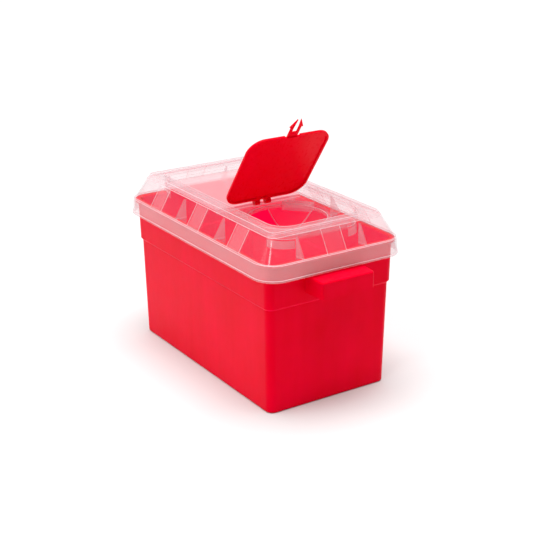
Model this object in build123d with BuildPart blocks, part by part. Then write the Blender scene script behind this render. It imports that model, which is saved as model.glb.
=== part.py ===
from build123d import *
import os
from math import asin, cos, degrees, hypot, radians, sin

# Sharps container: an open bin, a snap-fit lid with a recessed drop hole, a swinging door with a
# folding lock tab, and a ring of springy petals under the hole. Millimetres, +Z up.
# The origin is the middle of the floor that the bin stands on. X runs along the long side.

# ---------------------------------------------------------------- bin
BIN_LENGTH = 327.0  # outside, at the floor
BIN_WIDTH = 180.0
BIN_HEIGHT = 199.0
BIN_WALL = 2.0
BIN_FLOOR = 2.4
BIN_CORNER = 10.0
BIN_BASE_ROUND = 3.0
LOWER_DRAFT = 2.4  # outward lean per side, floor to collar
COLLAR_DROP = 60.0  # mouth down to the collar's step
COLLAR_STEP = 2.0
COLLAR_STEP_HEIGHT = 3.0
COLLAR_DRAFT = 1.0
FLANGE_REACH_END = 8.9  # how far the mouth flange stands out
FLANGE_REACH_SIDE = 6.4
FLANGE_THICKNESS = 2.4

# ---------------------------------------------------------------- end handles
HANDLE_WIDTH = 78.0
HANDLE_REACH = 33.0
HANDLE_DROP = 21.0  # mouth down to the handle's top
HANDLE_SLOPE = 2.0  # how much the top falls towards its front edge
HANDLE_HEIGHT = 23.0
HANDLE_FLARE = 2.0  # each side is wider where it meets the bin
HANDLE_WALL = 2.2
HANDLE_SIDE_ROUND = 3.0
HANDLE_TOP_ROUND = 2.0

# ---------------------------------------------------------------- lid shell
LID_WALL = 1.8
SNAP_GAP = 0.4
SKIRT_HEIGHT = 21.0
SKIRT_DRAFT = 1.0
SKIRT_LIP = 0.8
SKIRT_LIP_HEIGHT = 2.4
SKIRT_CORNER = 28.0
SNAP_BEAD_REACH = 1.6  # how far the snap bead stands in from the skirt
SNAP_BEAD_HEIGHT = 2.2
SNAP_BEAD_GAP = 0.3  # under the bin's flange
LEDGE = 3.0
SLOPE_INSET = 16.5
SLOPE_RISE = 28.0
CROWN_INSET = 3.5
CROWN_RISE = 6.0
LID_CORNER = 22.0
SLOPE_TOP_CORNER = 9.0
RIM_END = 14.5  # width of the raised rim past the recess
RIM_SIDE = 19.0
RECESS_DRAFT = 1.5
RECESS_CORNER_HOLE_END = 25.0
RECESS_CORNER_FAR_END = 9.0
TRAY_DEPTH = 18.0  # the hole's half of the recess
SHELF_DEPTH = 14.0  # the other half
CORNER_SKIRT_DROP = 10.0
STEP_GAP = 1.2  # shelf's step to the door's hooks
BAND_WIDTH = 28.0
BAND_RAISE = 0.7
BAND_PITCH = 99.0
GUSSET_THICKNESS = 1.6
GUSSET_PITCH_LONG = 99.0
GUSSET_PITCH_SHORT = 94.0
GUSSET_DEPTH = 6.5  # how far the ribs reach into the bin's mouth
GUSSET_MOUTH_GAP = 1.0
GUSSET_TOP_DROP = 3.0  # ribs' top below the slope's top
GUSSET_WEB = 2.0  # depth of the ribs at their top

# ---------------------------------------------------------------- drop hole
HOLE_SIDE_MARGIN = 14.5  # hole's edge to the recess's side
HOLE_HINGE_MARGIN = 10.0  # hole's edge to the hinge axis
HOLE_LOCK_MARGIN = 13.25  # hole's edge to the middle of the lock slot
HOLE_LIP_WIDTH = 1.4
HOLE_LIP_HEIGHT = 0.8

# ---------------------------------------------------------------- needle remover beside the hole
REMOVER_ANGLE = 132.5  # round the hole from the lock slot
REMOVER_OVERHANG = 1.0  # how far it stands into the hole
REMOVER_LENGTH = 41.0
REMOVER_DEPTH = 16.0
REMOVER_RAISE = 1.6
REMOVER_DROP = 5.6
REMOVER_SLOT_WIDTH = 2.6
REMOVER_SLOT_LENGTH = 34.0
REMOVER_KEYHOLE = 5.2
REMOVER_SLOT_INSET = 9.9  # from the block's inner face to the slot's middle
REMOVER_ROUND = 1.5

# ---------------------------------------------------------------- door hinge
HINGE_X = 8.0
HINGE_BAR_RADIUS = 2.2
HOOK_FLOOR_GAP = 1.6  # hooks above the tray floor
HINGE_FIT = 0.08
HOOK_WALL = 2.1
HOOK_PITCH = 16.8
HOOK_WIDTH = 7.4
HOOK_SIDE_GAP = 0.3
HOOK_MOUTH = 3.2
HOOK_MOUTH_TURN = 45.0  # which way the hooks' mouths face, from straight below
HOOK_WEB = 4.0
HOOK_ARM_TOP = 2.0  # arm's upper side above the hinge axis when shut
POST_WALL = 1.3  # posts stand this much proud of the bar
POST_SPAN = 62.0

# ---------------------------------------------------------------- door
DOOR_OPEN_ANGLE = 54.7
DOOR_SIDE_GAP = 4.0
DOOR_END_GAP = 11.0
DOOR_POST_GAP = 1.4  # hinge posts to the door's near edge
DOOR_CORNER = 22.0
DOOR_PLATE = 1.8
DOOR_RISE = 0.6  # plate's underside above the hinge axis when the door is shut
DOOR_LIP_DEPTH = 1.6
DOOR_LIP_WALL = 3.2
DOOR_EDGE_ROUND = 1.2

# ---------------------------------------------------------------- lock tab
TAB_WIDTH = 15.0
TAB_THICKNESS = 1.8
TAB_NOTCH = 4.0
TAB_NOTCH_DEPTH = 3.0
TAB_ROOT_GAP = 0.35
PRONG_LENGTH = 28.0
PRONG_NECK = 3.8
BARB_REACH = 2.4
BARB_START = 14.5
PRONG_TIP_SPREAD = 5.0
PRONG_BASE = 5.5
LOCK_SLOT_SIDE_GAP = 1.9  # slot's ends to the prongs, less than the barbs stand out
LOCK_SLOT_WIDTH = 6.0

# ---------------------------------------------------------------- petal guard
PETAL_SPACES = 5  # petal places round the hole, of which one is left open
PETAL_FIRST_ANGLE = 142.0
PETAL_THICKNESS = 1.2
PETAL_ROOT_GAP = 2.0  # hole's edge to the petals' outer edge
PETAL_SIDE_GAP = 0.7
PETAL_SAG = 20.0
PETAL_TIP_RADIUS = 15.0
PETAL_TIP_ROUND = 7.0
GUARD_RING_WIDTH = 8.0
GUARD_RING_THICKNESS = 1.8
GUARD_RING_OVERHANG = 0.4  # how far the ring stands into the hole
GUARD_GAP = 0.3

CUT_PAST = 1.0  # how far a cut runs beyond the faces it goes through

# ---------------------------------------------------------------- sizes that follow
step_length = BIN_LENGTH + 2 * LOWER_DRAFT
step_width = BIN_WIDTH + 2 * LOWER_DRAFT
collar_length = step_length + 2 * COLLAR_STEP
collar_width = step_width + 2 * COLLAR_STEP
mouth_length = collar_length + 2 * COLLAR_DRAFT
mouth_width = collar_width + 2 * COLLAR_DRAFT
flange_length = mouth_length + 2 * FLANGE_REACH_END
flange_width = mouth_width + 2 * FLANGE_REACH_SIDE
flange_corner = SKIRT_CORNER - LID_WALL - SNAP_GAP
collar_z = BIN_HEIGHT - COLLAR_DROP
handle_top = BIN_HEIGHT - HANDLE_DROP
handle_low = handle_top - HANDLE_HEIGHT

shoulder_z = BIN_HEIGHT + LID_WALL
skirt_z = shoulder_z - SKIRT_HEIGHT
shoulder_length = flange_length + 2 * (SNAP_GAP + LID_WALL)
shoulder_width = flange_width + 2 * (SNAP_GAP + LID_WALL)
skirt_length = shoulder_length + 2 * SKIRT_DRAFT
skirt_width = shoulder_width + 2 * SKIRT_DRAFT
foot_length = shoulder_length - 2 * LEDGE
foot_width = shoulder_width - 2 * LEDGE
slope_z = shoulder_z + SLOPE_RISE
slope_length = foot_length - 2 * SLOPE_INSET
slope_width = foot_width - 2 * SLOPE_INSET
crown_z = slope_z + CROWN_RISE
crown_length = slope_length - 2 * CROWN_INSET
crown_width = slope_width - 2 * CROWN_INSET
recess_length = slope_length - 2 * RIM_END
recess_width = slope_width - 2 * RIM_SIDE
tray_z = crown_z - TRAY_DEPTH
shelf_z = crown_z - SHELF_DEPTH
floor_under_z = tray_z - LID_WALL

hook_radius = HINGE_BAR_RADIUS + HINGE_FIT + HOOK_WALL
post_radius = HINGE_BAR_RADIUS + POST_WALL
hinge_z = tray_z + hook_radius + HOOK_FLOOR_GAP
step_x = HINGE_X - hook_radius - STEP_GAP
door_width = recess_width - 2 * DOOR_SIDE_GAP
door_start = post_radius + DOOR_POST_GAP  # hinge axis to the door's near edge
door_length = recess_length / 2 - DOOR_END_GAP - HINGE_X  # hinge axis to the free edge
lip_low = DOOR_RISE - DOOR_LIP_DEPTH  # lip's edge, measured up from the hinge axis when shut
tab_axis = door_length - TAB_NOTCH_DEPTH + TAB_ROOT_GAP + TAB_THICKNESS / 2
lock_slot_x = HINGE_X + tab_axis
lock_slot_length = TAB_WIDTH + 2 * LOCK_SLOT_SIDE_GAP

# The hole is as large as the tray leaves room for, midway between the hinge and the lock slot.
hole_room = tab_axis - HOLE_HINGE_MARGIN - HOLE_LOCK_MARGIN
hole_radius = min(recess_width / 2 - HOLE_SIDE_MARGIN, hole_room / 2)
hole_x = HINGE_X + HOLE_HINGE_MARGIN + hole_room / 2

# The door's own plane: x runs from the hinge to the free edge, z out of its upper face.
open_cos = cos(radians(DOOR_OPEN_ANGLE))
open_sin = sin(radians(DOOR_OPEN_ANGLE))
door_plane = Plane(
    origin=(HINGE_X, 0, hinge_z),
    x_dir=(open_cos, 0, open_sin),
    z_dir=(-open_sin, 0, open_cos),
)


def drafted_box(lower, upper):
    """Build a solid between two rounded rectangles, each given as length, width, corner and z."""
    with BuildPart() as block:
        for length, width, corner, z in (lower, upper):
            with BuildSketch(Plane.XY.offset(z)):
                RectangleRounded(length, width, corner)
        loft()
    return block.part


def save(piece, name):
    """Name a finished piece and write it as its own STEP file."""
    piece.part.label = name
    export_step(piece.part, f"parts/{name}.step")


os.makedirs("parts", exist_ok=True)

# ================================================================ bin
# Outlines of the bin, floor to mouth, as length, width, corner and z.
collar_top_z = collar_z + COLLAR_STEP_HEIGHT
bin_outlines = [
    (BIN_LENGTH, BIN_WIDTH, BIN_CORNER, 0),
    (step_length, step_width, BIN_CORNER, collar_z),
    (collar_length, collar_width, BIN_CORNER, collar_top_z),
    (mouth_length, mouth_width, BIN_CORNER, BIN_HEIGHT),
]


def stack(outlines, base_round):
    """Build one solid from drafted boxes stacked through outlines, with a rounded bottom edge."""
    with BuildPart() as body:
        for lower, upper in zip(outlines, outlines[1:]):
            add(drafted_box(lower, upper))
        fillet(body.faces().sort_by(Axis.Z)[0].edges(), base_round)
    return body.part


def shrink(outline, wall, z):
    """Move an outline in by wall and put it at height z."""
    length, width, corner, _ = outline
    return (length - 2 * wall, width - 2 * wall, corner - wall, z)


hollow_outlines = [shrink(outline, BIN_WALL, outline[3]) for outline in bin_outlines]
hollow_outlines[0] = shrink(bin_outlines[0], BIN_WALL, BIN_FLOOR)

# Finger space under each handle, open at the bottom.
handle_root = mouth_length / 2 - BIN_WALL
handle_front = mouth_length / 2 + HANDLE_REACH


def handle_side(grow, low, root):
    """Draw half of the handle's outline, seen along Y, shrunk by grow."""
    front = handle_front - grow
    top = handle_top - grow
    with BuildSketch(Plane.XZ) as side:
        with BuildLine():
            Polyline(
                (root, low),
                (front, low),
                (front, top - HANDLE_SLOPE),
                (root, top),
                close=True,
            )
        make_face()
    return side.sketch


def handle_plan(grow, root):
    """Draw the handle's outline from above, flared where it meets the bin, shrunk by grow."""
    front = handle_front - grow
    half = HANDLE_WIDTH / 2 - grow
    with BuildSketch(Plane.XY) as plan:
        with BuildLine():
            Polyline(
                (root, -half - HANDLE_FLARE),
                (front, -half),
                (front, half),
                (root, half + HANDLE_FLARE),
                close=True,
            )
        make_face()
    return plan.sketch


with BuildPart() as handle_block:
    extrude(handle_side(0, handle_low, handle_root), amount=HANDLE_WIDTH, both=True)
    extrude(handle_plan(0, handle_root), amount=BIN_HEIGHT, mode=Mode.INTERSECT)
    fillet(handle_block.edges().filter_by(Axis.Z).group_by(Axis.X)[-1], HANDLE_SIDE_ROUND)
    fillet(handle_block.faces().sort_by(Axis.X)[-1].edges().group_by(Axis.Z)[-1], HANDLE_TOP_ROUND)

finger_root = mouth_length / 2
with BuildPart() as finger_space:
    extrude(handle_side(HANDLE_WALL, handle_low - CUT_PAST, finger_root), amount=HANDLE_WIDTH, both=True)
    extrude(handle_plan(HANDLE_WALL, finger_root), amount=BIN_HEIGHT, mode=Mode.INTERSECT)

with BuildPart() as bin_body:
    add(stack(bin_outlines, BIN_BASE_ROUND))
    with BuildSketch(Plane.XY.offset(BIN_HEIGHT - FLANGE_THICKNESS)):
        RectangleRounded(flange_length, flange_width, flange_corner)
    extrude(amount=FLANGE_THICKNESS)
    add(handle_block.part)
    add(handle_block.part.mirror(Plane.YZ))
    add(finger_space.part, mode=Mode.SUBTRACT)
    add(finger_space.part.mirror(Plane.YZ), mode=Mode.SUBTRACT)
    add(stack(hollow_outlines, BIN_BASE_ROUND - BIN_WALL), mode=Mode.SUBTRACT)
save(bin_body, "bin")

# ================================================================ lid
def recess(grow):
    """Build the recess in the lid's top, grown by grow: a deep tray, and a shelf behind the hinge."""
    top_length = recess_length + 2 * grow
    top_width = recess_width + 2 * grow
    with BuildPart() as hollow:
        for z, trim in ((tray_z - grow, 2 * RECESS_DRAFT), (crown_z, 0)):
            with BuildSketch(Plane.XY.offset(z)) as outline:
                Rectangle(top_length - trim, top_width - trim)
                fillet(outline.vertices().group_by(Axis.X)[-1], RECESS_CORNER_HOLE_END + grow)
                fillet(outline.vertices().group_by(Axis.X)[0], RECESS_CORNER_FAR_END + grow)
        loft()
        with BuildSketch(Plane.XY.offset(tray_z - grow)):
            with Locations((step_x - grow - top_length / 2, 0)):
                Rectangle(top_length, 2 * top_width)
        extrude(amount=shelf_z - tray_z, mode=Mode.SUBTRACT)
    return hollow.part


# Outlines of the lid's skin, from the skirt's lower edge up.
slope_wall = LID_WALL * hypot(SLOPE_INSET, SLOPE_RISE) / SLOPE_RISE  # the slope's wall, measured level
skirt_outline = (skirt_length, skirt_width, SKIRT_CORNER, skirt_z)
shoulder_outline = (shoulder_length, shoulder_width, SKIRT_CORNER, shoulder_z)
foot_outline = (foot_length, foot_width, LID_CORNER, shoulder_z)
slope_outline = (slope_length, slope_width, SLOPE_TOP_CORNER, slope_z)
crown_outline = (crown_length, crown_width, SLOPE_TOP_CORNER, crown_z)

skirt_inside = shrink(skirt_outline, LID_WALL, skirt_z)
rim_inside = shrink(shoulder_outline, LID_WALL, BIN_HEIGHT)
slope_insides = [
    shrink(foot_outline, slope_wall, BIN_HEIGHT),
    shrink(foot_outline, slope_wall, shoulder_z),
    shrink(slope_outline, slope_wall, slope_z),
    shrink(crown_outline, slope_wall, crown_z - LID_WALL),
]

# Everything between the lid's skin and its recess is empty.
with BuildPart() as lid_hollow:
    add(drafted_box(skirt_inside, rim_inside))
    for lower, upper in zip(slope_insides, slope_insides[1:]):
        add(drafted_box(lower, upper))
    add(recess(LID_WALL), mode=Mode.SUBTRACT)

# Raised bands down the slopes: three on each long side and one on each end.
with BuildPart() as bands:
    band_foot = shrink(foot_outline, -BAND_RAISE, shoulder_z)
    band_top = shrink(slope_outline, -BAND_RAISE, slope_z)
    add(drafted_box(band_foot, band_top))
    with BuildSketch(Plane.XY.offset(shoulder_z)):
        with GridLocations(BAND_PITCH, 1, 3, 1):
            Rectangle(BAND_WIDTH, 2 * foot_width)
        Rectangle(2 * foot_length, BAND_WIDTH)
    extrude(amount=SLOPE_RISE, mode=Mode.INTERSECT)


def gusset(foot_half, slope_half, mouth_half, plane):
    """Build one upright rib in plane, from the slope's inside down into the bin's mouth."""
    slope_run = foot_half - slope_half
    apex_z = slope_z - GUSSET_TOP_DROP
    apex_x = slope_half - slope_wall + slope_run * (slope_z - apex_z) / SLOPE_RISE
    foot_x = foot_half - slope_wall / 2
    seat_x = mouth_half - BIN_WALL - GUSSET_MOUTH_GAP
    inner_x = min(apex_x, seat_x) - GUSSET_WEB
    with BuildPart() as rib:
        with BuildSketch(plane):
            with BuildLine():
                Polyline(
                    (inner_x, apex_z),
                    (apex_x + slope_wall / 2, apex_z),
                    (foot_x, shoulder_z),
                    (foot_x, BIN_HEIGHT + LID_WALL / 2),
                    (seat_x, BIN_HEIGHT + LID_WALL / 2),
                    (seat_x, BIN_HEIGHT - GUSSET_DEPTH),
                    (inner_x, BIN_HEIGHT - GUSSET_DEPTH),
                    close=True,
                )
            make_face()
        extrude(amount=GUSSET_THICKNESS / 2, both=True)
    return rib.part


end_gusset = gusset(foot_length / 2, slope_length / 2, mouth_length / 2, Plane.XZ)
side_gusset = gusset(foot_width / 2, slope_width / 2, mouth_width / 2, Plane.YZ)

# The hinge: a round bar on three posts, with a gap for each of the door's two hooks.
hook_gap = HOOK_WIDTH + 2 * HOOK_SIDE_GAP
post_low = tray_z - LID_WALL / 2
post_height = hinge_z - post_low
with BuildPart() as hinge_posts:
    with BuildSketch(Plane.XZ.offset(POST_SPAN / 2)):
        with Locations((HINGE_X, hinge_z)):
            Circle(post_radius)
        with Locations((HINGE_X, post_low + post_height / 2)):
            Rectangle(2 * post_radius, post_height)
    extrude(amount=-POST_SPAN)
    with BuildSketch(Plane.XY.offset(floor_under_z)):
        with Locations((HINGE_X, -HOOK_PITCH / 2), (HINGE_X, HOOK_PITCH / 2)):
            Rectangle(4 * post_radius, hook_gap)
    extrude(amount=TRAY_DEPTH, mode=Mode.SUBTRACT)
    with BuildSketch(Plane.XZ.offset(POST_SPAN / 2)):
        with Locations((HINGE_X, hinge_z)):
            Circle(HINGE_BAR_RADIUS)
    extrude(amount=-POST_SPAN)

# The needle remover: a block across the hole's edge, with a slot that ends in a round keyhole.
remover_cos = cos(radians(REMOVER_ANGLE))
remover_sin = sin(radians(REMOVER_ANGLE))
remover_front = hole_radius - REMOVER_OVERHANG
remover_low = floor_under_z - REMOVER_DROP
remover_high = tray_z + REMOVER_RAISE
remover_plane = Plane(
    origin=(hole_x + remover_front * remover_cos, remover_front * remover_sin, remover_low),
    x_dir=(remover_cos, remover_sin, 0),
    z_dir=(0, 0, 1),
)
with BuildPart() as remover:
    with BuildSketch(remover_plane):
        with Locations((REMOVER_DEPTH / 2, 0)):
            Rectangle(REMOVER_DEPTH, REMOVER_LENGTH)
    extrude(amount=remover_high - remover_low)
    fillet(remover.edges().filter_by(Axis.Z), REMOVER_ROUND)
with BuildPart() as remover_slot:
    with BuildSketch(remover_plane.offset(-CUT_PAST)):
        with Locations((REMOVER_SLOT_INSET, 0)):
            SlotOverall(REMOVER_SLOT_LENGTH, REMOVER_SLOT_WIDTH, rotation=90)
        with Locations((REMOVER_SLOT_INSET, (REMOVER_KEYHOLE - REMOVER_SLOT_LENGTH) / 2)):
            Circle(REMOVER_KEYHOLE / 2)
    extrude(amount=remover_high - remover_low + 2 * CUT_PAST)

# Short curved skirts under the tray's two rounded corners.
corner_x = recess_length / 2 - RECESS_DRAFT - RECESS_CORNER_HOLE_END
corner_y = recess_width / 2 - RECESS_DRAFT - RECESS_CORNER_HOLE_END
with BuildPart() as corner_skirts:
    with BuildSketch(Plane.XY.offset(floor_under_z - CORNER_SKIRT_DROP)):
        with Locations((corner_x, corner_y), (corner_x, -corner_y)):
            Circle(RECESS_CORNER_HOLE_END + LID_WALL)
            Circle(RECESS_CORNER_HOLE_END, mode=Mode.SUBTRACT)
        with Locations((corner_x - recess_length / 2, 0)):
            Rectangle(recess_length, 2 * recess_width, mode=Mode.SUBTRACT)
        Rectangle(2 * recess_length, 2 * corner_y, mode=Mode.SUBTRACT)
    extrude(amount=CORNER_SKIRT_DROP)

with BuildPart() as lid:
    add(drafted_box(skirt_outline, shoulder_outline))
    add(drafted_box(foot_outline, slope_outline))
    add(drafted_box(slope_outline, crown_outline))
    add(bands.part)
    add(recess(0), mode=Mode.SUBTRACT)
    add(lid_hollow.part, mode=Mode.SUBTRACT)
    # lip round the bottom of the skirt
    with BuildSketch(Plane.XY.offset(skirt_z)):
        length, width, corner, _ = shrink(skirt_outline, -SKIRT_LIP, skirt_z)
        RectangleRounded(length, width, corner)
        length, width, corner, _ = shrink(skirt_outline, LID_WALL / 2, skirt_z)
        RectangleRounded(length, width, corner, mode=Mode.SUBTRACT)
    extrude(amount=SKIRT_LIP_HEIGHT)
    # bead inside the skirt that snaps under the bin's flange
    with BuildSketch(Plane.XY.offset(BIN_HEIGHT - FLANGE_THICKNESS - SNAP_BEAD_GAP)):
        length, width, corner, _ = shrink(shoulder_outline, LID_WALL / 2, BIN_HEIGHT)
        RectangleRounded(length, width, corner)
        length, width, corner, _ = shrink(rim_inside, SNAP_BEAD_REACH, BIN_HEIGHT)
        RectangleRounded(length, width, corner, mode=Mode.SUBTRACT)
    extrude(amount=-SNAP_BEAD_HEIGHT)
    add(corner_skirts.part)
    add(hinge_posts.part)
    # the hole and its raised lip
    with BuildSketch(Plane.XY.offset(tray_z - LID_WALL / 2)):
        with Locations((hole_x, 0)):
            Circle(hole_radius + HOLE_LIP_WIDTH)
    extrude(amount=LID_WALL / 2 + HOLE_LIP_HEIGHT)
    with BuildSketch(Plane.XY.offset(floor_under_z - CUT_PAST)):
        with Locations((hole_x, 0)):
            Circle(hole_radius)
    extrude(amount=TRAY_DEPTH, mode=Mode.SUBTRACT)
    add(remover.part)
    add(remover_slot.part, mode=Mode.SUBTRACT)
    # the slot that takes the folded lock tab
    with BuildSketch(Plane.XY.offset(floor_under_z - CUT_PAST)):
        with Locations((lock_slot_x, 0)):
            Rectangle(LOCK_SLOT_WIDTH, lock_slot_length)
    extrude(amount=LID_WALL + 2 * CUT_PAST, mode=Mode.SUBTRACT)
    for side in (-1, 1):
        add(end_gusset.moved(Location((0, side * GUSSET_PITCH_SHORT / 2, 0))))
        add(end_gusset.mirror(Plane.YZ).moved(Location((0, side * GUSSET_PITCH_SHORT / 2, 0))))
        add(side_gusset.moved(Location((side * GUSSET_PITCH_LONG / 2, 0, 0))))
        add(side_gusset.mirror(Plane.XZ).moved(Location((side * GUSSET_PITCH_LONG / 2, 0, 0))))
save(lid, "lid")

# ================================================================ door
door_up = Axis(door_plane.origin, door_plane.z_dir)
plate_centre = (door_start + door_length) / 2
door_outline = (door_length - door_start, door_width, DOOR_CORNER, 0)
notch_half = TAB_WIDTH / 2 + TAB_NOTCH
with BuildPart() as door:
    # tray-shaped plate: a flat top with a lip that hangs from its edge
    with BuildSketch(door_plane.offset(lip_low)):
        with Locations((plate_centre, 0)):
            RectangleRounded(*door_outline[:3])
    extrude(amount=DOOR_LIP_DEPTH + DOOR_PLATE)
    fillet(door.faces().sort_by(door_up)[-1].edges(), DOOR_EDGE_ROUND)
    with BuildSketch(door_plane.offset(lip_low)):
        with Locations((plate_centre, 0)):
            length, width, corner, _ = shrink(door_outline, DOOR_LIP_WALL, 0)
            RectangleRounded(length, width, corner)
    extrude(amount=DOOR_LIP_DEPTH, mode=Mode.SUBTRACT)
    # notch in the free edge, lip and all, where the lock tab folds down
    with BuildSketch(door_plane.offset(lip_low)):
        with Locations((door_length, 0)):
            Rectangle(2 * TAB_NOTCH_DEPTH, 2 * notch_half)
    extrude(amount=DOOR_LIP_DEPTH + DOOR_PLATE, mode=Mode.SUBTRACT)
    # two hooks that snap over the hinge bar
    for side in (-1, 1):
        hook_plane = Plane(
            origin=door_plane.origin + Vector(0, side * HOOK_PITCH / 2 - HOOK_WIDTH / 2, 0),
            x_dir=door_plane.x_dir,
            z_dir=(0, -1, 0),
        )
        with BuildSketch(hook_plane):
            Circle(hook_radius)
            with BuildLine():
                Polyline(
                    (0, HOOK_ARM_TOP),
                    (0, lip_low),
                    (door_start + DOOR_LIP_WALL, lip_low),
                    (door_start + DOOR_LIP_WALL + HOOK_WEB, DOOR_RISE),
                    (door_start + DOOR_EDGE_ROUND, HOOK_ARM_TOP),
                    close=True,
                )
            make_face()
            Circle(HINGE_BAR_RADIUS + HINGE_FIT, mode=Mode.SUBTRACT)
            with Locations(Location((0, 0), -HOOK_MOUTH_TURN)):
                with Locations((0, -hook_radius)):
                    Rectangle(HOOK_MOUTH, 2 * hook_radius, mode=Mode.SUBTRACT)
        extrude(amount=-HOOK_WIDTH)
save(door, "door")

# ================================================================ lock tab
# A flat fork in the door's plane: two springy prongs with a barb on the outer side of each.
tab_tip = door_length + PRONG_LENGTH
barb_x = door_length + BARB_START
with BuildPart() as lock_tab:
    with BuildSketch(door_plane.offset(DOOR_RISE)):
        for side in (-1, 1):
            base_out = side * TAB_WIDTH / 2
            tip_y = side * PRONG_TIP_SPREAD / 2
            with BuildLine():
                Polyline(
                    (tab_axis, 0),
                    (tab_axis, base_out),
                    (barb_x, base_out),
                    (barb_x, base_out + side * BARB_REACH),
                    (tab_tip, tip_y),
                    (barb_x, base_out - side * PRONG_NECK),
                    (door_length + PRONG_BASE, base_out - side * PRONG_NECK),
                    (door_length + PRONG_BASE, 0),
                    close=True,
                )
            make_face()
    extrude(amount=TAB_THICKNESS)
    # round root that the tab bends about
    root_middle = door_plane.origin + door_plane.x_dir * tab_axis
    root_middle += door_plane.z_dir * (DOOR_RISE + TAB_THICKNESS / 2)
    with BuildSketch(Plane(origin=root_middle, x_dir=door_plane.x_dir, z_dir=(0, -1, 0))):
        Circle(TAB_THICKNESS / 2)
    extrude(amount=TAB_WIDTH / 2, both=True)
save(lock_tab, "lock_tab")

# ================================================================ petal guard
# The petals make a shallow bowl under the hole. Its section is an arc, level at the middle.
guard_root_radius = hole_radius - PETAL_ROOT_GAP
bowl_radius = (guard_root_radius**2 + PETAL_SAG**2) / (2 * PETAL_SAG)
petal_root_z = floor_under_z - PETAL_THICKNESS
petal_half_angle = 180 / PETAL_SPACES

with BuildPart() as guard_ring:
    with BuildSketch(Plane.XY.offset(floor_under_z - GUARD_RING_THICKNESS)):
        with Locations((hole_x, 0)):
            Circle(hole_radius + GUARD_RING_WIDTH)
            Circle(hole_radius - GUARD_RING_OVERHANG, mode=Mode.SUBTRACT)
    extrude(amount=GUARD_RING_THICKNESS)
    with BuildSketch(remover_plane):
        with Locations((REMOVER_DEPTH / 2, 0)):
            Rectangle(REMOVER_DEPTH + 2 * GUARD_RING_WIDTH, REMOVER_LENGTH + 2 * GUARD_GAP)
    extrude(amount=remover_high - remover_low, mode=Mode.SUBTRACT)
save(guard_ring, "guard_ring")


def petal(angle):
    """Build one petal of the guard, pointing away from the hole's centre at angle."""
    start = radians(angle - petal_half_angle)
    radial = (cos(start), sin(start), 0)
    middle = (cos(radians(angle)), sin(radians(angle)), 0)
    section_plane = Plane(
        origin=(hole_x, 0, petal_root_z), x_dir=radial, z_dir=(radial[1], -radial[0], 0)
    )
    plan_plane = Plane(origin=(hole_x, 0, 0), x_dir=middle, z_dir=(0, 0, 1))
    outward = Axis((hole_x, 0, 0), middle)
    bowl_centre = (0, bowl_radius - PETAL_SAG)
    root_turn = degrees(asin(guard_root_radius / bowl_radius))
    side_turn = radians(petal_half_angle)
    plan_reach = hole_radius + GUARD_RING_WIDTH
    side_x = plan_reach * cos(side_turn)
    side_y = plan_reach * sin(side_turn)
    tip_x = PETAL_TIP_RADIUS * cos(side_turn)
    tip_y = PETAL_TIP_RADIUS * sin(side_turn)
    with BuildPart() as piece:
        with BuildSketch(section_plane):
            with BuildLine():
                upper = CenterArc(bowl_centre, bowl_radius - PETAL_THICKNESS / 2, -90, root_turn)
                lower = CenterArc(bowl_centre, bowl_radius + PETAL_THICKNESS / 2, -90, root_turn)
                Line(upper @ 0, lower @ 0)
                Line(upper @ 1, lower @ 1)
            make_face()
        revolve(axis=Axis((hole_x, 0, 0), (0, 0, 1)), revolution_arc=2 * petal_half_angle)
        with BuildSketch(plan_plane) as plan:
            with BuildLine():
                Polyline(
                    (tip_x, -tip_y),
                    (side_x, -side_y),
                    (plan_reach, 0),
                    (side_x, side_y),
                    (tip_x, tip_y),
                    close=True,
                )
            make_face()
            offset(amount=-PETAL_SIDE_GAP / 2)
            fillet(plan.vertices().group_by(outward)[0], PETAL_TIP_ROUND)
        extrude(amount=crown_z, mode=Mode.INTERSECT)
    return piece


for place in range(PETAL_SPACES - 1):
    save(petal(PETAL_FIRST_ANGLE - place * 2 * petal_half_angle), f"petal_{place + 1}")
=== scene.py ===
from math import cos, degrees, pi, radians, sin, sqrt

import bpy
from mathutils import Matrix, Vector


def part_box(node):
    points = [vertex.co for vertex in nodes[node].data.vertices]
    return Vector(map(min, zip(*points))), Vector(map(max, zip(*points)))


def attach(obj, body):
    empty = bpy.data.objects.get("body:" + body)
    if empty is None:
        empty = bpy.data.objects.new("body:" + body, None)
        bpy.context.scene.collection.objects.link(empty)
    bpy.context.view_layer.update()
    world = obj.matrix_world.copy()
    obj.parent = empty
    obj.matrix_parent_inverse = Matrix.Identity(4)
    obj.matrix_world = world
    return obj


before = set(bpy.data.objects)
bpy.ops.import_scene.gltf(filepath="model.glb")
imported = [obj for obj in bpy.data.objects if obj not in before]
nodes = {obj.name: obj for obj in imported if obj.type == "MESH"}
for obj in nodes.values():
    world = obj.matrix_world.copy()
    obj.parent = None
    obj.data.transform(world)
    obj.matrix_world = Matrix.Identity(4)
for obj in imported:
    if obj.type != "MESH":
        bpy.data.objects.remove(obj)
scene = bpy.context.scene
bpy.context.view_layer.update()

# Where things are on the model, in metres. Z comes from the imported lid, up from the skirt's edge.
lid_low, lid_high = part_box("lid")
CROWN_Z = lid_high.z
SLOPE_Z = CROWN_Z - 0.006
SHOULDER_Z = lid_low.z + 0.021
TRAY_Z = CROWN_Z - 0.018
SHELF_Z = CROWN_Z - 0.014
HOLE_X = 0.069
HOLE_RADIUS = 0.051
STEP_X = 0.0024  # where the shelf drops to the tray
BAND_PITCH = 0.099
BAND_HALF = 0.014
SLOPE_INSET = 0.0165
FOOT_HALF = (0.177, 0.101)
SLOPE_HALF = (0.1605, 0.0845)
CROWN_HALF = (0.157, 0.081)
RECESS_HALF = (0.146, 0.0655)
TRAY_HALF = (0.1445, 0.064)
SKIRT_TOP_HALF = (0.1798, 0.1038)
SKIRT_FOOT_HALF = (0.1813, 0.1053)
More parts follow.
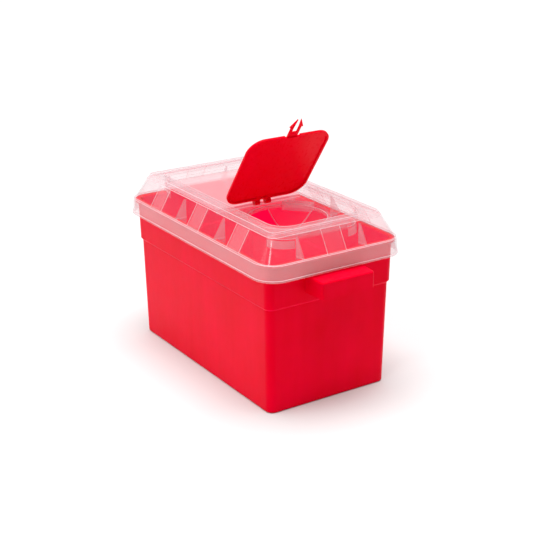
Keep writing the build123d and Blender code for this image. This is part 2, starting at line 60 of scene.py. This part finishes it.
ROUND_CORNER = 0.025  # the recess's two corners beside the hole
SHARP_CORNER = 0.009  # the crown's corners and the recess's other two
SHOULDER_CORNER = 0.022
SKIRT_CORNER = 0.028
SKIRT_FOOT_CORNER = 0.0283
FOOT_LINE_Z = lid_low.z + 0.0024
BAND_END_X = 0.125  # the long sides' bands stop short of the corners
LID_WALL = 0.0018
PETAL_THICKNESS = 0.0012
CORNER_SKIRT_DEPTH = 0.011
JUST_OVER = 0.0004  # keeps a border clear of the face that it follows
BIN_FOOT_HALF = (0.1635, 0.090)
BIN_WALL = 0.002
BIN_CORNER = 0.010
BIN_LEAN = 0.0024
BIN_COLLAR = 0.002
BIN_STEP_Z = 0.140
# strength of the painted glow on the bin's inside walls, an emission in place of light through them
PAINTED_WALL_GLOW = 0.20
REMOVER_ANGLE = 132.5
REMOVER_DEPTH = 0.016
REMOVER_LENGTH = 0.041
REMOVER_OVERHANG = 0.001
REMOVER_MIDDLE = HOLE_RADIUS - REMOVER_OVERHANG + REMOVER_DEPTH / 2
PETAL_ANGLES = {"petal_1": 142, "petal_2": 70, "petal_3": -2, "petal_4": -74}
PETAL_HALF_ANGLE = 36
PETAL_ROOT = 0.049
PETAL_SAG = 0.020
PETAL_TIP = 0.019
EDGE_LIFT = 0.0006  # how far an edge line stands off its surface
CURVE_STEPS = 12
HOLE_STEPS = 96

# How milky each part of the lid is, from 0 for clear to 1 for white.
SLOPE_HAZE = 0.03
SKIRT_HAZE = 0.24
RIM_HAZE = 0.17
SHELF_HAZE = 0.34
TRAY_HAZE = 0.06
# the long sides' bands are real raised bands, but their extra haze over the end band is painted light:
# they face the key light, and the end band is the same moulding in shade
BAND_HAZE = 0.15
END_BAND_HAZE = 0.06
GUSSET_HAZE = 0.30
MOULDED_DETAIL_HAZE = 0.34
MILK = (1.0, 0.88, 0.91, 1)


# ---------------------------------------------------------------- node helpers
def add_node(tree, kind, settings=None, **inputs):
    """Add a shader node with its settings, and fill its inputs from values or other outputs."""
    node = tree.nodes.new(kind)
    for key, value in (settings or {}).items():
        setattr(node, key, value)
    for key, value in inputs.items():
        name = key.replace("_", " ")
        socket = node.inputs[int(key[3:])] if key.startswith("at_") else node.inputs[name]
        if isinstance(value, bpy.types.NodeSocket):
            tree.links.new(value, socket)
        else:
            socket.default_value = value
    return node


def math_node(tree, operation, first, second=0.0, third=0.0):
    """Return the output of one Math node."""
    settings = {"operation": operation}
    return add_node(tree, "ShaderNodeMath", settings, at_0=first, at_1=second, at_2=third).outputs[0]


def new_material(name):
    """Start an empty material. Returns it, its tree, its output node and its object coordinates."""
    material = bpy.data.materials.new(name)
    material.use_nodes = True
    tree = material.node_tree
    tree.nodes.clear()
    output = tree.nodes.new("ShaderNodeOutputMaterial")
    place = tree.nodes.new("ShaderNodeTexCoord").outputs["Object"]
    return material, tree, output, place


def noise(tree, place, scale, detail=2.0, stretch=(1, 1, 1)):
    """Return a noise value between 0 and 1, with scale in cells per metre."""
    mapped = add_node(tree, "ShaderNodeMapping", Vector=place, Scale=stretch).outputs[0]
    return add_node(tree, "ShaderNodeTexNoise", Vector=mapped, Scale=scale, Detail=detail).outputs["Fac"]


def spread(tree, value, low, high, start=0.3, end=0.7):
    """Map a value from the span start..end to the span low..high."""
    settings = {"clamp": True}
    names = {"From Min": start, "From Max": end, "To Min": low, "To Max": high}
    node = add_node(tree, "ShaderNodeMapRange", settings, Value=value)
    for key, number in names.items():
        node.inputs[key].default_value = number
    return node.outputs[0]


def grain_bump(tree, place, fine, wavy):
    """Moulded plastic's surface: a fine texture over a slow waviness from cooling."""
    small = noise(tree, place, 900, 3)
    large = noise(tree, place, 22, 1)
    first = add_node(tree, "ShaderNodeBump", Height=large, Strength=wavy, Distance=0.002).outputs[0]
    second = add_node(
        tree, "ShaderNodeBump", Height=small, Strength=fine, Distance=0.0001, Normal=first
    )
    return second.outputs[0]


# ---------------------------------------------------------------- materials
def red_plastic(name, light, dark, roughness, scuffs):
    """Glossy red moulded plastic with slow colour variation, flow streaks and fine scuffs."""
    material, tree, output, place = new_material(name)
    clouds = noise(tree, place, 14, 4)
    streaks = noise(tree, place, 60, 3, (1, 1, 0.12))
    blend = math_node(tree, "MULTIPLY_ADD", streaks, 0.4, math_node(tree, "MULTIPLY", clouds, 0.6))
    ramp = add_node(tree, "ShaderNodeValToRGB", Fac=spread(tree, blend, 0.0, 1.0))
    ramp.color_ramp.elements[0].color = (*dark, 1)
    ramp.color_ramp.elements[1].color = (*light, 1)
    worn = noise(tree, place, 260, 6, (1, 1, 0.35))
    rough = spread(tree, worn, roughness, roughness + scuffs, 0.35, 0.75)
    shader = add_node(
        tree,
        "ShaderNodeBsdfPrincipled",
        Base_Color=ramp.outputs[0],
        Roughness=rough,
        IOR=1.49,
        Normal=grain_bump(tree, place, 0.06, 0.04),
    )
    shader.inputs["Specular IOR Level"].default_value = 0.07
    shader.inputs["Specular Tint"].default_value = (1.0, 0.06, 0.14, 1)
    # light passes a little way through the thin walls, red most of all
    shader.inputs["Subsurface Weight"].default_value = 0.45
    shader.inputs["Subsurface Radius"].default_value = (1.0, 0.08, 0.08)
    shader.inputs["Subsurface Scale"].default_value = 0.004
    tree.links.new(shader.outputs[0], output.inputs[0])
    return material


def bin_plastic(name, light, dark, roughness, scuffs):
    """Red plastic whose inside walls carry a painted glow, an emission standing in for daylight that
    soaks through the thin walls.
    """
    material = red_plastic(name, light, dark, roughness, scuffs)
    tree = material.node_tree
    place = add_node(tree, "ShaderNodeTexCoord").outputs["Object"]
    x, y, z = add_node(tree, "ShaderNodeSeparateXYZ", Vector=place).outputs
    lean = spread(tree, z, 0.0, BIN_LEAN, 0.0, BIN_STEP_Z)
    collar = math_node(tree, "MULTIPLY", math_node(tree, "GREATER_THAN", z, BIN_STEP_Z), BIN_COLLAR)
    lean = math_node(tree, "ADD", lean, collar)
    # distance out from the corner arcs' centres: less than the radius, short of half a wall, is inside
    squares = []
    for value, half in zip((x, y), BIN_FOOT_HALF):
        reach = math_node(tree, "SUBTRACT", math_node(tree, "ABSOLUTE", value), lean)
        past_arc = math_node(tree, "SUBTRACT", reach, half - BIN_CORNER)
        squares.append(math_node(tree, "POWER", math_node(tree, "MAXIMUM", past_arc, 0.0), 2.0))
    from_arc = math_node(tree, "SQRT", math_node(tree, "ADD", *squares))
    inside = math_node(tree, "LESS_THAN", from_arc, BIN_CORNER - BIN_WALL / 2)
    inside = math_node(tree, "MULTIPLY", inside, math_node(tree, "GREATER_THAN", z, BIN_WALL / 2))
    shader = next(node for node in tree.nodes if node.type == "BSDF_PRINCIPLED")
    # painted light: the inside walls emit a faint red glow in place of daylight passing through them
    shader.inputs["Emission Color"].default_value = (1.0, 0.006, 0.22, 1)
    tree.links.new(math_node(tree, "MULTIPLY", inside, PAINTED_WALL_GLOW), shader.inputs["Emission Strength"])
    return material


def clear_shader(tree, place, haze, roughness, tint):
    """See-through milky plastic: part clear, part scattering, with a gloss that grows at a slant."""
    normal = grain_bump(tree, place, 0.12, 0.25)
    through = add_node(tree, "ShaderNodeBsdfTransparent", Color=(*tint, 1)).outputs[0]
    front = add_node(tree, "ShaderNodeBsdfDiffuse", Color=MILK, Normal=normal).outputs[0]
    back = add_node(tree, "ShaderNodeBsdfTranslucent", Color=MILK, Normal=normal).outputs[0]
    scatter = add_node(tree, "ShaderNodeMixShader", Fac=0.45, at_1=front, at_2=back).outputs[0]
    body = add_node(tree, "ShaderNodeMixShader", Fac=haze, at_1=through, at_2=scatter).outputs[0]
    smears = spread(tree, noise(tree, place, 120, 4), roughness, roughness + 0.14)
    gloss = add_node(tree, "ShaderNodeBsdfGlossy", Roughness=smears, Normal=normal).outputs[0]
    facing = add_node(tree, "ShaderNodeLayerWeight", Blend=0.5).outputs["Facing"]
    slant = math_node(tree, "MULTIPLY_ADD", math_node(tree, "POWER", facing, 4.0), 0.35, 0.02)
    return add_node(tree, "ShaderNodeMixShader", Fac=slant, at_1=body, at_2=gloss).outputs[0]


def clear_plastic(name, haze, roughness=0.10, tint=(0.995, 0.985, 0.985)):
    """Natural polypropylene of one thickness, with slow patches of more and less haze."""
    material, tree, output, place = new_material(name)
    patches = spread(tree, noise(tree, place, 30, 3), 0.85, 1.2)
    tree.links.new(
        clear_shader(tree, place, math_node(tree, "MULTIPLY", patches, haze), roughness, tint),
        output.inputs[0],
    )
    return material


def above(tree, value, limit, soft=0.0006):
    """Return 1 where value is over limit and 0 where it is under, with a narrow blend."""
    return spread(tree, value, 0.0, 1.0, limit - soft, limit + soft)


def below(tree, value, limit, soft=0.0006):
    """Return 1 where value is under limit and 0 where it is over, with a narrow blend."""
    return math_node(tree, "SUBTRACT", 1.0, above(tree, value, limit, soft))


def is_over(tree, value, limit):
    """Return 1 where value is over limit, with a hard border."""
    return math_node(tree, "GREATER_THAN", value, limit)


def is_under(tree, value, limit):
    """Return 1 where value is under limit, with a hard border."""
    return math_node(tree, "LESS_THAN", value, limit)


def all_of(tree, first, *others):
    """Return 1 only where every mask is 1."""
    for other in others:
        first = math_node(tree, "MULTIPLY", first, other)
    return first


def band_masks(tree, x, far_x, far_y, on_slope):
    """The raised bands on the long sides' slopes, and the one on each end's slope."""
    turns = math_node(tree, "DIVIDE", x, BAND_PITCH)
    offset = math_node(tree, "SUBTRACT", turns, math_node(tree, "ROUND", turns))
    from_band = math_node(tree, "MULTIPLY", math_node(tree, "ABSOLUTE", offset), BAND_PITCH)
    on_long = above(tree, far_y, SLOPE_HALF[1] - 0.001)
    off_end = is_under(tree, far_x, BAND_END_X)
    long_bands = all_of(tree, below(tree, from_band, BAND_HALF, 0.0003), on_long, off_end, on_slope)
    on_end = above(tree, far_x, SLOPE_HALF[0] - 0.001)
    end_bands = all_of(tree, below(tree, far_y, BAND_HALF, 0.0003), on_end, on_slope)
    return long_bands, end_bands


def gusset_mask(tree, far_x, far_y, z, outside_tray, off_corner):
    """The triangular gussets: all that lies further in than the slopes' own wall."""
    lean = spread(tree, z, 0.0, SLOPE_INSET, SHOULDER_Z, SLOPE_Z)
    depths = []
    for far, foot in zip((far_x, far_y), FOOT_HALF):
        reach = math_node(tree, "ADD", far, lean)
        depths.append(math_node(tree, "SUBTRACT", foot - LID_WALL - 0.0005, reach))
    further_in = above(tree, math_node(tree, "MINIMUM", *depths), 0.0, 0.0002)
    under_rim = is_under(tree, z, SLOPE_Z - 0.004)
    over_skirt = above(tree, z, SHOULDER_Z - 0.002)
    return all_of(tree, further_in, outside_tray, under_rim, off_corner, over_skirt)


def remover_mask(tree, x, y):
    """The needle remover, seen from above as a block across the hole's edge."""
    turn = radians(REMOVER_ANGLE)
    from_hole = math_node(tree, "SUBTRACT", x, HOLE_X)
    part = math_node(tree, "MULTIPLY", y, sin(turn))
    along = math_node(tree, "MULTIPLY_ADD", from_hole, cos(turn), part)
    part = math_node(tree, "MULTIPLY", y, cos(turn))
    across = math_node(tree, "MULTIPLY_ADD", from_hole, -sin(turn), part)
    beside = math_node(tree, "COMPARE", along, REMOVER_MIDDLE, REMOVER_DEPTH / 2 + 0.0003)
    within = is_under(tree, math_node(tree, "ABSOLUTE", across), REMOVER_LENGTH / 2 + 0.0003)
    return all_of(tree, beside, within)


def corner_skirt_mask(tree, x, z, over_x, over_y):
    """The short skirts under the tray's two rounded corners."""
    reach = -ROUND_CORNER - 0.001
    under_tray = math_node(tree, "COMPARE", z, TRAY_Z - 0.0075, CORNER_SKIRT_DEPTH / 2)
    at_corner = all_of(tree, is_over(tree, over_x, reach), is_over(tree, over_y, reach))
    return all_of(tree, at_corner, under_tray, is_over(tree, x, 0.0))


def lid_plastic():
    """The lid's plastic: nearly clear slopes, and frosted skirt, bands, rim, gussets and shelf."""
    material, tree, output, place = new_material("lid_clear_plastic")
    x, y, z = add_node(tree, "ShaderNodeSeparateXYZ", Vector=place).outputs
    far_x = math_node(tree, "ABSOLUTE", x)
    far_y = math_node(tree, "ABSOLUTE", y)
    over_x = math_node(tree, "SUBTRACT", far_x, RECESS_HALF[0] + 0.001)
    over_y = math_node(tree, "SUBTRACT", far_y, RECESS_HALF[1] + 0.001)

    skirt = below(tree, z, SHOULDER_Z + JUST_OVER)
    rim = above(tree, z, SLOPE_Z)
    on_slope = all_of(tree, above(tree, z, SHOULDER_Z + JUST_OVER), below(tree, z, SLOPE_Z))
    long_bands, end_bands = band_masks(tree, x, far_x, far_y, on_slope)

    outside_tray = is_over(tree, math_node(tree, "MAXIMUM", over_x, over_y), 0.0)
    off_corner = is_under(tree, math_node(tree, "MINIMUM", over_x, over_y), 0.004)
    gussets = gusset_mask(tree, far_x, far_y, z, outside_tray, off_corner)

    # the recess: its rear half is a frosted shelf, its front half the tray round the hole
    inside_tray = math_node(tree, "SUBTRACT", 1.0, outside_tray)
    over_floor = above(tree, z, TRAY_Z - LID_WALL - 0.0007)
    in_recess = all_of(tree, inside_tray, over_floor, is_under(tree, z, SHELF_Z + 0.0005))
    shelf = all_of(tree, in_recess, is_under(tree, x, STEP_X))
    tray = all_of(tree, in_recess, is_over(tree, x, STEP_X))

    corner_skirts = corner_skirt_mask(tree, x, z, over_x, over_y)
    details = math_node(tree, "MAXIMUM", remover_mask(tree, x, y), corner_skirts)
    details = all_of(tree, details, inside_tray, above(tree, z, SHOULDER_Z))

    patches = spread(tree, noise(tree, place, 26, 3), -0.012, 0.015)
    haze = math_node(tree, "ADD", patches, SLOPE_HAZE)
    # the long bands' extra haze over the end band is painted light
    for mask, part_haze in (
        (skirt, SKIRT_HAZE),
        (rim, RIM_HAZE),
        (long_bands, BAND_HAZE),
        (end_bands, END_BAND_HAZE),
        (gussets, GUSSET_HAZE),
        (shelf, SHELF_HAZE),
        (tray, TRAY_HAZE),
        (details, MOULDED_DETAIL_HAZE),
    ):
        haze = math_node(tree, "MULTIPLY_ADD", mask, part_haze - SLOPE_HAZE, haze)
    tree.links.new(clear_shader(tree, place, haze, 0.10, (0.99, 0.97, 0.975)), output.inputs[0])
    return material


bin_red = bin_plastic("bin_red_plastic", (0.86, 0.0, 0.028), (0.76, 0.0, 0.014), 0.30, 0.12)
door_red = red_plastic("door_red_plastic", (0.84, 0.0, 0.020), (0.76, 0.0, 0.008), 0.26, 0.10)
lid_clear = lid_plastic()
petal_clear = clear_plastic("petal_soft_plastic", 0.05, 0.16, (1.0, 0.90, 0.96))
ring_clear = clear_plastic("guard_ring_plastic", 0.12)
# painted highlight: near-white milky tubes along the lid's rounded edges, where they catch the light
edge_highlight_paint = clear_plastic("edge_painted_highlight_plastic", 0.75, 0.30)
petal_edge = clear_plastic("petal_edge_plastic", 0.45, 0.2)

for name, node in nodes.items():
    if name == "bin":
        chosen = bin_red
    elif name in ("door", "lock_tab"):
        chosen = door_red
    elif name == "lid":
        chosen = lid_clear
    elif name == "guard_ring":
        chosen = ring_clear
    else:
        chosen = petal_clear
    node.data.materials.clear()
    node.data.materials.append(chosen)


# ---------------------------------------------------------------- thin milky lines along moulded edges; on the lid they are painted highlights where the rounded edges catch the light
def rounded_outline(half_x, half_y, corner_right, corner_left, z, steps=8):
    """Points round a rectangle, anticlockwise, with one corner radius at +X and another at -X."""
    points = []
    for quarter, (sx, sy, corner) in enumerate(
        ((1, 1, corner_right), (-1, 1, corner_left), (-1, -1, corner_left), (1, -1, corner_right))
    ):
        for step in range(steps + 1):
            turn = radians(90 * quarter + 90 * step / steps)
            centre_x = sx * (half_x - corner)
            centre_y = sy * (half_y - corner)
            points.append((centre_x + corner * cos(turn), centre_y + corner * sin(turn), z))
    return points


def edge_piece(name, lines, thickness, material, body):
    """Make one piece of thin round edges, each given as its points and whether it closes."""
    data = bpy.data.curves.new(name, "CURVE")
    data.dimensions = "3D"
    data.bevel_depth = thickness / 2
    data.bevel_resolution = 2
    for points, closed in lines:
        spline = data.splines.new("POLY")
        spline.points.add(len(points) - 1)
        for place, point in zip(spline.points, points):
            place.co = (*point, 1)
        spline.use_cyclic_u = closed
    piece = bpy.data.objects.new(name, data)
    scene.collection.objects.link(piece)
    data.materials.append(material)
    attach(piece, body)
    return piece


def slope_point(half, across, z, side):
    """A point on the lid's slope. half is 0 for the ends and 1 for the long sides, side is -1 or 1."""
    share = (z - SHOULDER_Z) / (SLOPE_Z - SHOULDER_Z)
    out = FOOT_HALF[half] - SLOPE_INSET * share + 0.0007
    return (side * out, across, z) if half == 0 else (across, side * out, z)


def across_tray(z):
    """An open line across the recess at the step from shelf to tray."""
    return ([(STEP_X, -TRAY_HALF[1], z), (STEP_X, TRAY_HALF[1], z)], False)


rim_lines = [
    (rounded_outline(*RECESS_HALF, ROUND_CORNER, SHARP_CORNER, CROWN_Z - 0.0003), True),
    (rounded_outline(*CROWN_HALF, SHARP_CORNER, SHARP_CORNER, CROWN_Z - 0.0003), True),
    (rounded_outline(*SLOPE_HALF, SHARP_CORNER, SHARP_CORNER, SLOPE_Z), True),
    (rounded_outline(*FOOT_HALF, SHOULDER_CORNER, SHOULDER_CORNER, SHOULDER_Z + 0.0001), True),
    (rounded_outline(*SKIRT_TOP_HALF, SKIRT_CORNER, SKIRT_CORNER, SHOULDER_Z - 0.0002), True),
    (rounded_outline(*SKIRT_FOOT_HALF, SKIRT_FOOT_CORNER, SKIRT_FOOT_CORNER, FOOT_LINE_Z), True),
]
tray_outline = rounded_outline(*TRAY_HALF, ROUND_CORNER, SHARP_CORNER, TRAY_Z + 0.0003)
rim_lines.append(([p for p in tray_outline if p[0] > STEP_X], False))
rim_lines.append(across_tray(SHELF_Z))
rim_lines.append(across_tray(TRAY_Z))
hole_edge = []
for step in range(HOLE_STEPS):
    turn = 2 * pi * step / HOLE_STEPS
    reach = HOLE_RADIUS + EDGE_LIFT
    hole_edge.append((HOLE_X + reach * cos(turn), reach * sin(turn), TRAY_Z + 0.0008))
rim_lines.append((hole_edge, True))
# painted highlights round the lid's rims, tray and hole
edge_piece("lid_rim_edges", rim_lines, 0.0007, edge_highlight_paint, "container")

def slope_line(half, across, side):
    """A line up the lid's slope, from its shoulder to its rim."""
    low = slope_point(half, across, SHOULDER_Z + JUST_OVER, side)
    high = slope_point(half, across, SLOPE_Z, side)
    return ([low, high], False)


band_lines = []
for side in (-1, 1):
    for band in (-1, 0, 1):
        for edge in (-1, 1):
            band_lines.append(slope_line(1, band * BAND_PITCH + edge * BAND_HALF, side))
    for edge in (-1, 1):
        band_lines.append(slope_line(0, edge * BAND_HALF, side))
# painted highlights up the edges of the slopes' bands
edge_piece("lid_band_edges", band_lines, 0.0005, edge_highlight_paint, "container")


def bowl_point(angle, radius):
    """A point on the petals' bowl, at an angle round the hole and a radius from its middle."""
    bowl_radius = (PETAL_ROOT**2 + PETAL_SAG**2) / (2 * PETAL_SAG) - EDGE_LIFT
    root_z = TRAY_Z - LID_WALL - PETAL_THICKNESS
    z = root_z + bowl_radius + EDGE_LIFT - PETAL_SAG - sqrt(bowl_radius**2 - radius**2)
    return (HOLE_X + radius * cos(radians(angle)), radius * sin(radians(angle)), z)


for name, angle in PETAL_ANGLES.items():
    lines = []
    for side in (-1, 1):
        points = []
        for step in range(CURVE_STEPS):
            radius = PETAL_TIP + (PETAL_ROOT - PETAL_TIP - 0.0005) * step / (CURVE_STEPS - 1)
            lean = PETAL_HALF_ANGLE - degrees(EDGE_LIFT / radius)
            points.append(bowl_point(angle + side * lean, radius))
        lines.append((points, False))
    edge_piece(f"{name}_edges", lines, 0.0007, petal_edge, name)


# ---------------------------------------------------------------- floor, lights and camera
bpy.ops.mesh.primitive_plane_add(size=30)
floor = bpy.context.object
floor.name = "floor"
floor_material, tree, output, place = new_material("white_floor")
speck = spread(tree, noise(tree, place, 4, 2), 0.72, 0.74)
grey = add_node(tree, "ShaderNodeCombineColor", Red=speck, Green=speck, Blue=speck).outputs[0]
tree.links.new(add_node(tree, "ShaderNodeBsdfDiffuse", Color=grey).outputs[0], output.inputs[0])
floor.data.materials.append(floor_material)

world = bpy.data.worlds.new("studio")
scene.world = world
world.use_nodes = True
background = world.node_tree.nodes["Background"]
background.inputs["Color"].default_value = (1, 1, 1, 1)
background.inputs["Strength"].default_value = 0.34


def softbox(name, place, target, size, power, shape="SQUARE"):
    """Add a soft area light at place that faces target."""
    data = bpy.data.lights.new(name, "AREA")
    data.shape = shape
    data.size = size
    data.energy = power
    lamp = bpy.data.objects.new(name, data)
    scene.collection.objects.link(lamp)
    lamp.location = place
    lamp.rotation_mode = "QUATERNION"
    lamp.rotation_quaternion = (Vector(target) - Vector(place)).to_track_quat("-Z", "Y")
    return lamp


softbox("key_left", (-0.6, -2.0, 1.1), (0, 0, 0.12), 1.2, 9)
overhead = bpy.data.lights.new("overhead", "SUN")
overhead.energy = 3.4
overhead.angle = radians(50)
scene.collection.objects.link(bpy.data.objects.new("overhead", overhead))
softbox("glint", (0.9, -1.6, 1.9), (0.1, 0, 0.2), 0.25, 6, "DISK")

camera_data = bpy.data.cameras.new("camera")
camera_data.lens = 82.9
camera_data.sensor_width = 36
camera_data.clip_start = 0.05
camera = bpy.data.objects.new("camera", camera_data)
scene.collection.objects.link(camera)
CAMERA_PLACE = (1.30986, -0.83297, 0.70301)
CAMERA_AZIMUTH = 57.176
CAMERA_ELEVATION = 20.323
CAMERA_ROLL = -0.401
azimuth, elevation = radians(CAMERA_AZIMUTH), radians(CAMERA_ELEVATION)
backward = Vector((sin(azimuth) * cos(elevation), -cos(azimuth) * cos(elevation), sin(elevation)))
rightward = Vector((cos(azimuth), sin(azimuth), 0))
upward = backward.cross(rightward)
turn = Matrix((rightward, upward, backward)).transposed() @ Matrix.Rotation(radians(CAMERA_ROLL), 3, "Z")
camera.matrix_world = Matrix.Translation(CAMERA_PLACE) @ turn.to_4x4()
scene.camera = camera
scene.view_settings.view_transform = "Standard"
# a ray crosses many clear walls on its way through the lid
scene.cycles.transparent_max_bounces = 40
